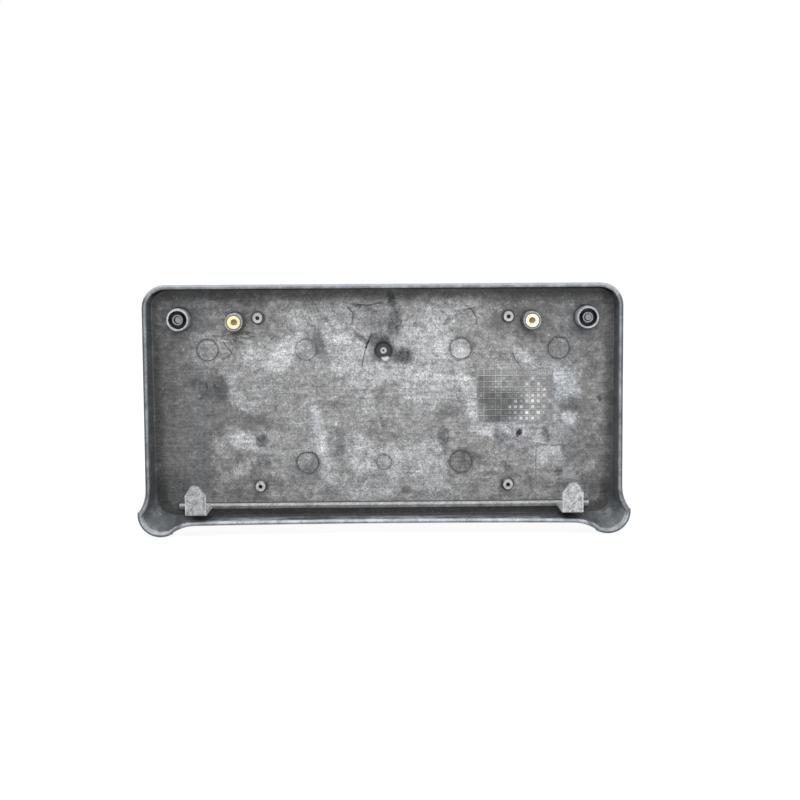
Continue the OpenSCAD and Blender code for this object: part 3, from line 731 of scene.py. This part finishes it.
def rubbed_wall(n, at, wear, wall, below):
    """Tone of the inner wall with the rubbed band under the rim and the rubbed patches of the lower wall."""
    long_rub = n.noise(at.there, scale=90, detail=5, rough=0.7, stretch=(0.3, 1, 1), seed=111)
    band = n.mul(n.ramp(below, 4.0, 1.2), n.ramp(wear.along_rim, 0.40, 0.60))
    # The band is left off the upper wall, which stays dark as painted shade
    band = n.mul(band, n.rest(n.mul(wear.at_top, 0.9)))
    wall = n.blend(n.mul(band, 0.65), wall, n.add(0.09, n.ramp(wear.rub, 0.36, 0.62, 0.0, 0.22)))
    patchy = n.mul(n.mul(wear.at_bottom, n.ramp(below, 14, 4)), n.ramp(long_rub, 0.44, 0.60))
    patchy = n.mul(patchy, n.ramp(at.away_u, 150, 130))
    return n.blend(patchy, wall, n.ramp(wear.rub, 0.30, 0.62, *LOWER_WALL_TONES))


def rail_tone(n, at, wear):
    """Tone of the rail's back, with painted shade towards its lower side and a painted highlight on its
    upper edge, which faces up.
    """
    uneven = n.add(n.ramp(wear.rub, 0.32, 0.64, 0.62, 1.2), n.ramp(at.u, -90, 60, -0.12, 0.14))
    # Painted shade: darker towards the rail's lower side
    rail = n.mul(n.ramp(at.v, *RAIL_BACK_V, *RAIL_SHADE_TONES), uneven)
    # Painted highlight on the upper edge, which faces up
    return n.add(rail, n.mul(n.ramp(at.face[2], 0.25, 0.55), 0.40))


def hook_tone(n, at, beside_hook):
    """Tone of the hooks: blotchy, with painted highlights along the side edges."""
    blotch = n.noise(at.there, scale=330, detail=5, rough=0.75, seed=131)
    hook = n.ramp(blotch, 0.33, 0.62, *HOOK_TONES)
    hook = n.mul(hook, n.ramp(at.u, -20, 20, 0.86, 1.10))
    # Painted highlight along the side edges
    return n.add(hook, n.ramp(n.size(n.sub(beside_hook, HOOK_W / 2)), 0.9, 0.2, 0.0, 0.20))


def raised_ends(n, at, wear, grain, at_hook, hook, on_rail):
    """Tone of the ends of posts and bosses, the rail and the hooks, and the share of the round sleeves."""
    tops = n.add(ENDS_TONE, n.ramp(wear.rub, 0.32, 0.66, 0.0, ENDS_SPECKLE))
    rail = rail_tone(n, at, wear)
    tops = n.blend(n.mul(on_rail, n.ramp(at.depth, *RAIL_DEPTH)), tops, rail)
    tops = n.blend(n.mul(at_hook, n.ramp(at.depth, *HOOK_DEPTH)), tops, hook)
    on_sleeve = 0.0
    for centres, outer, inner, dull in SLEEVES:
        for centre in centres:
            away = n.distance(at.where, centre)
            on_sleeve = n.larger(on_sleeve, n.ramp(away, *SLEEVE_EDGE))
            tops = n.blend(n.ramp(away, outer, inner), tops, dull)
    return n.mul(tops, n.vary(grain, 0.74, 1.26)), on_sleeve


def tinted(n, tone, level, soil, blue):
    """The tone as a colour: chalk and soil are a little blue, and walls, sleeves, hooks and rail more so."""
    colour = n.mix(n.ramp(level, -0.1, 0.4, 1.0, 0.0), n.grey(tone, CHALK_TINT), n.grey(tone, DARK_TINT))
    colour = n.mix(n.mul(soil, 1.4), colour, n.grey(tone, SOIL_TINT))
    return n.mix(blue, colour, n.grey(tone, WALL_TINT))


def mottled_front(n, at):
    """Tone of the clean plastic on the front and the outer sides, faintly mottled."""
    return n.ramp(n.noise(at.there, scale=45, detail=6, rough=0.65, seed=151), 0.4, 0.7, *FRONT_TONES)


def moulding():
    """Worn plastic: each surface has its own tone, and one colour is made of them all."""
    n = Nodes(bpy.data.materials.new("worn_plastic"))
    at = Spot(n)
    tone, level, soil, grain = floor_of_tray(n, at)
    grid, in_grid = date_grid(n, at, grain)
    floor_tone = n.blend(in_grid, tone, grid)

    # The skirt
    wear = Wear(n, at)
    wall = skirt_wall(n, at, wear)
    below = below_rim(n, at)
    leans_out = facing_outwards(n, at)
    rim = skirt_rim(n, at, wear, leans_out)
    wall = rubbed_wall(n, at, wear, wall, below)
    outside = n.larger(n.ramp(at.away_u, *SKIRT_U), n.ramp(at.away_v, *SKIRT_V))
    on_rim = n.mul(n.mul(n.ramp(below, *RIM_BELOW), n.ramp(at.depth, *RIM_FROM_DEPTH)), outside)
    outer_wall = n.mul(n.mul(n.ramp(leans_out, 0.45, 0.70), n.ramp(below, 1.4, 2.2)), outside)

    # What stands on the floor
    raised = n.mul(n.ramp(at.depth, *RAISED_DEPTH), n.rest(outside))
    beside_hook = n.size(n.sub(at.away_u, HOOK_U))
    at_hook = n.ramp(beside_hook, HOOK_W / 2 + 1, HOOK_W / 2 + 0.5)
    faces_sideways = n.ramp(n.size(at.face[0]), 0.6, 0.8)
    on_web = n.mul(n.mul(at_hook, n.ramp(at.depth, *WEB_DEPTH)), faces_sideways)
    hook = hook_tone(n, at, beside_hook)
    on_rail = n.mul(n.ramp(at.v, *RAIL_TOP_V), n.ramp(at_hook, 0.9, 0.1))
    tops, on_sleeve = raised_ends(n, at, wear, grain, at_hook, hook, on_rail)

    # One tone of them all
    front = mottled_front(n, at)
    is_front = n.ramp(at.depth, *FRONT_DEPTH)
    is_floor = n.mul(at.faces_back, n.ramp(at.depth, *FLOOR_DEPTH))
    side_tone = n.mul(wall, n.vary(grain, 0.86, 1.14))
    # Up-facing sides of raised parts take the pale tone of their tops: painted light from above
    side_tone = n.blend(n.mul(raised, at.faces_up), side_tone, n.mul(tops, 0.95))
    side_tone = n.blend(n.mul(on_web, n.rest(outside)), side_tone, n.mul(hook, 0.85))
    tone = n.blend(is_floor, side_tone, floor_tone)
    tone = n.blend(n.mul(raised, at.faces_back), tone, tops)
    tone = n.blend(on_rim, tone, n.mul(rim, n.vary(grain, 0.85, 1.15)))
    tone = n.blend(n.larger(is_front, outer_wall), tone, front)
    tone = n.mul(tone, n.ramp(wear.fine, 0.25, 0.75, 0.88, 1.12))

    # Colour, roughness and fine relief
    blue_wall = n.mul(outside, n.rest(is_floor))
    blue_hooks = n.mul(n.larger(at_hook, n.mul(on_rail, raised)), 0.4)
    blue = n.larger(blue_wall, n.larger(n.mul(on_sleeve, raised), blue_hooks))
    colour = tinted(n, tone, level, soil, n.mul(blue, n.rest(is_front)))
    rough = n.blend(outside, n.ramp(level, -0.5, 0.6, 0.48, 0.72), 0.42)
    height = n.add(n.add(n.mul(grain, 0.7), n.mul(wear.fine, 0.3)), n.mul(wear.rub, 0.3))
    relief = n.bump(height, 0.40, 0.4 * MM)
    return n.surface(Base_Color=colour, Roughness=rough, Normal=relief, Specular_IOR_Level=0.4)


# Brass, and dark films that paint the shade in the holes
def brass():
    n = Nodes(bpy.data.materials.new("turned_brass"))
    there = n.place()[0]
    cloud = n.noise(there, scale=260, detail=4, rough=0.6, seed=7)
    turned = n.noise(there, scale=900, detail=3, rough=0.6, stretch=(1, 4, 1), seed=13)
    colour = n.mix(n.ramp(cloud, 0.35, 0.65), (0.94, 0.76, 0.33, 1), (1.0, 0.94, 0.62, 1))
    relief = n.bump(turned, 0.15, 0.1 * MM)
    return n.surface(Base_Color=colour, Metallic=1.0, Roughness=n.vary(turned, 0.20, 0.34), Normal=relief)


def hole_shade_material(name, low, high, tint, lit=()):
    """A dull dark material that paints the shade in a hole; where lit circles (u, v, radius) are given, it
    is painted black shade outside them.
    """
    n = Nodes(bpy.data.materials.new(name))
    there, u, _, v = n.place()
    grain = n.noise(there, scale=700, detail=5, rough=0.7, seed=17)
    crust = n.noise(there, scale=1900, detail=3, rough=0.6, seed=19)
    tone = n.mul(n.vary(grain, low, high), n.vary(crust, 0.85, 1.15))
    if lit:
        shade = 1.0
        where = n.flat(u, v)
        for cu, cv, radius in lit:
            shade = n.smaller(shade, n.ramp(n.distance(where, (cu, cv)), radius, radius + 0.3))
        tone = darken(n, tone, shade, 0.95)
    return n.surface(Base_Color=n.grey(tone, tint), Roughness=0.85, Normal=n.bump(crust, 0.5, 0.2 * MM))


plastic = moulding()
metal = brass()
for name, node in frame["nodes"].items():
    node.data.materials.clear()
    node.data.materials.append(plastic if name == "holder" else metal)


# Pieces
def link_piece(name, mesh, material):
    """Makes a piece from a bmesh, smooth, with its material and its body."""
    bmesh.ops.recalc_face_normals(mesh, faces=mesh.faces)
    data = bpy.data.meshes.new(name)
    mesh.to_mesh(data)
    mesh.free()
    data.polygons.foreach_set("use_smooth", [True] * len(data.polygons))
    piece = bpy.data.objects.new(name, data)
    bpy.context.scene.collection.objects.link(piece)
    data.materials.append(material)
    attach(piece, "root")


def bridge(mesh, here, there):
    """A band of faces between two loops of as many points."""
    for k in range(len(here)):
        j = (k + 1) % len(here)
        mesh.faces.new((here[k], here[j], there[j], there[k]))


def film(name, centre, radius, depth, material, seed):
    """A thin dished dark skin that closes a hole and paints the shade in it, uneven on both sides."""
    rings, sides, thick, dish = 6, 40, 0.35, 0.25
    reach, height, count, sharpness = 0.6, 0.12, 6, 9
    mesh = bmesh.new()
    rng = random.Random(seed)
    bumps = [(rng.uniform(-reach, reach), rng.uniform(-reach, reach), rng.uniform(-height, height))
             for _ in range(count)]

    def point(x, y, offset):
        """The film's point x, y from the hole's centre."""
        far = math.hypot(x, y) / radius
        uneven = sum(h * math.exp(-sharpness * ((x / radius - a) ** 2 + (y / radius - b) ** 2))
                     for a, b, h in bumps)
        sag = dish * far * far + uneven * (1 - far * far)
        return mesh.verts.new(Vector((-(centre[0] + x), depth + sag + offset, centre[1] + y)) * MM)

    edges = []
    for offset in (thick / 2, -thick / 2):
        middle = point(0, 0, offset)
        loops = []
        for ring in range(1, rings + 1):
            r = radius * ring / rings
            angles = [2 * math.pi * k / sides for k in range(sides)]
            loops.append([point(r * math.cos(a), r * math.sin(a), offset) for a in angles])
        for k in range(sides):
            mesh.faces.new((middle, loops[0][k], loops[0][(k + 1) % sides]))
        for inner, outer in zip(loops, loops[1:]):
            bridge(mesh, inner, outer)
        edges.append(loops[-1])
    bridge(mesh, *edges)
    link_piece(name, mesh, material)


def thread(name, cad_node, hole_r=2.3, sunk=0.06, ridge=0.16, pitch=0.8, margin=0.6, sides=28):
    """The screw thread that lines an insert's hole: a helical ridge that stands in from the wall."""
    low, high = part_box(cad_node)
    centre = (low + high) / 2
    start, end = low.y / MM + margin, high.y / MM - margin
    turns = (end - start) / pitch - 1
    count = int(turns * sides)
    root_r, crest_r, root_half, crest_half = hole_r + sunk, hole_r - ridge, 0.36, 0.05
    section = [(root_r, -root_half), (crest_r, -crest_half), (crest_r, crest_half), (root_r, root_half)]
    mesh = bmesh.new()
    rings = []
    for i in range(count + 1):
        a = 2 * math.pi * i / sides
        fade = min(1.0, i / sides * 2, (count - i) / sides * 2)
        along = start + pitch * 0.5 + i / sides * pitch
        ring = []
        for r, dy in section:
            r = root_r - (root_r - r) * fade
            spot = Vector((r * math.cos(a), along + dy * pitch, r * math.sin(a))) * MM
            ring.append(mesh.verts.new((centre.x + spot.x, spot.y, centre.z + spot.z)))
        rings.append(ring)
    for here, there in zip(rings, rings[1:]):
        bridge(mesh, here, there)
    mesh.faces.new(rings[0])
    mesh.faces.new(list(reversed(rings[-1])))
    link_piece(name, mesh, metal)


SIDES = ("left", "right")
CORNERS = ("upper_left", "upper_right", "lower_left", "lower_right")
LIT_SHIFT, LIT_R = (0.55, 0.15), 2.15     # where the posts' grey film is painted lit; outside it, painted black shade
lit_spots = [(u + LIT_SHIFT[0], v + LIT_SHIFT[1], LIT_R) for u, v in POSTS]
# These films are painted shade inside the holes: grey in the posts, brown-grey in the inserts, dark in the
# upper bosses and black in the lower ones
grey_hole_shade = hole_shade_material("grey_hole_shade", 0.20, 0.30, (0.98, 1.0, 1.03), lit_spots)
brown_hole_shade = hole_shade_material("brown_hole_shade", 0.15, 0.23, (1.10, 0.98, 0.90))
dark_hole_shade = hole_shade_material("dark_hole_shade", 0.06, 0.10, (1.02, 1.0, 0.98))
black_hole_shade = hole_shade_material("black_hole_shade", 0.008, 0.02, (1.0, 1.0, 1.0))
for i, (side, centre) in enumerate(zip(SIDES, POSTS)):
    film("shade_in_post_" + side, centre, radius=2.74, depth=11.2, material=grey_hole_shade, seed=11 + i)
for i, (side, centre) in enumerate(zip(SIDES, INSERTS)):
    film("shade_in_insert_" + side, centre, radius=2.1, depth=12.6, material=brown_hole_shade, seed=21 + i)
for i, (corner, centre) in enumerate(zip(CORNERS, PLATE_BOSSES)):
    shade_in_hole = dark_hole_shade if centre[1] > 0 else black_hole_shade
    film("shade_in_boss_" + corner, centre, radius=1.40, depth=5.2, material=shade_in_hole, seed=31 + i)
for side in SIDES:
    thread("thread_" + side, "insert_" + side)


# Stage, lights and camera
FLOOR_R = 6.0
FLOOR_GREY, FLOOR_SHADE_GREY = 0.8, 0.15
GLOW_AWAY, GLOW = (0.24, 0.5), (0.90, 1.0)     # the floor's glow rises over this distance from the object
WORLD_LIGHT = 0.34
# Lamps, all aimed at the origin: name, place, size and power
LAMPS = [
    ("top_softbox", (0.1, 0.75, 1.15), (1.4, 0.9), 16),
    ("back_fill", (-0.5, 1.3, 0.25), (1.2, 1.2), 7),
    ("front_fill", (0.4, -1.4, 0.9), (1.2, 1.2), 9),
]


def seen_white(n):
    """1 for rays of the camera and for mirror and glass rays, else 0."""
    path = n.node("ShaderNodeLightPath")
    seen = n.larger(path.outputs["Is Camera Ray"], path.outputs["Is Glossy Ray"])
    return n.larger(seen, path.outputs["Is Transmission Ray"])


def pick_by_ray(n, lights, shows, output):
    """Ends the tree: one shader lights the object, and the other shows to the camera and in mirrors."""
    pick = n.node("ShaderNodeMixShader")
    n.put(pick.inputs[0], seen_white(n))
    n.put(pick.inputs[1], lights.outputs[0])
    n.put(pick.inputs[2], shows.outputs[0])
    n.put(n.node(output).inputs[0], pick.outputs[0])


def floor_material():
    """Pale floor that shows as white and keeps the object's shadow."""
    n = Nodes(bpy.data.materials.new("pale_floor"))
    plain = n.node("ShaderNodeBsdfDiffuse")
    plain.inputs["Color"].default_value = (FLOOR_GREY,) * 3 + (1,)
    shade = n.node("ShaderNodeBsdfDiffuse")
    shade.inputs["Color"].default_value = (FLOOR_SHADE_GREY,) * 3 + (1,)
    away = n.vector("LENGTH", n.place()[0])
    glow = n.node("ShaderNodeEmission")
    glow.inputs["Color"].default_value = WHITE
    n.put(glow.inputs["Strength"], n.ramp(away, *GLOW_AWAY, *GLOW))
    both = n.node("ShaderNodeAddShader")
    n.put(both.inputs[0], shade.outputs[0])
    n.put(both.inputs[1], glow.outputs[0])
    pick_by_ray(n, plain, both, "ShaderNodeOutputMaterial")
    return n.owner


def floor():
    mesh = bmesh.new()
    bmesh.ops.create_circle(mesh, cap_ends=True, radius=FLOOR_R, segments=96)
    data = bpy.data.meshes.new("floor")
    mesh.to_mesh(data)
    mesh.free()
    piece = bpy.data.objects.new("floor", data)
    piece.location = (0, 0, cad_low.z)
    bpy.context.scene.collection.objects.link(piece)
    data.materials.append(floor_material())


def world():
    made = bpy.data.worlds.new("studio")
    bpy.context.scene.world = made
    n = Nodes(made)
    soft, white = n.node("ShaderNodeBackground"), n.node("ShaderNodeBackground")
    for background, strength in ((soft, WORLD_LIGHT), (white, 1.0)):
        background.inputs["Color"].default_value = WHITE
        background.inputs["Strength"].default_value = strength
    pick_by_ray(n, soft, white, "ShaderNodeOutputWorld")


def lamp(name, place, size, power):
    data = bpy.data.lights.new(name, "AREA")
    data.shape = "RECTANGLE"
    data.size, data.size_y = size
    data.energy = power
    piece = bpy.data.objects.new(name, data)
    piece.location = place
    piece.rotation_euler = (-Vector(place)).to_track_quat("-Z", "Y").to_euler()
    bpy.context.scene.collection.objects.link(piece)


def camera():
    """The photograph's camera: its turn, place and focal length were fitted to the holes and bosses."""
    roll, tilt, pan = 0.00643, 0.10403, 0.01208
    shift = Vector((-11.62, -0.638, -846.47)) * MM
    focal_px, frame_px = 1176.2, 800
    turn = Matrix.Rotation(roll, 3, "Z") @ Matrix.Rotation(tilt, 3, "X") @ Matrix.Rotation(pan, 3, "Y")
    from_plane = Matrix(((-1, 0, 0), (0, 0, 1), (0, 1, 0)))
    holes_centre = Vector((0, 0, 1.0)) * MM
    place = from_plane @ (-(turn.transposed() @ shift)) + holes_centre
    data = bpy.data.cameras.new("camera")
    data.sensor_width = 36.0
    data.lens = focal_px / frame_px * data.sensor_width
    data.clip_end = 50
    piece = bpy.data.objects.new("camera", data)
    piece.matrix_world = Matrix.Translation(place) @ (from_plane @ turn.transposed()).to_4x4()
    bpy.context.scene.collection.objects.link(piece)
    bpy.context.scene.camera = piece


floor()
world()
for settings in LAMPS:
    lamp(*settings)
camera()

scene = bpy.context.scene
scene.view_settings.view_transform = "Standard"
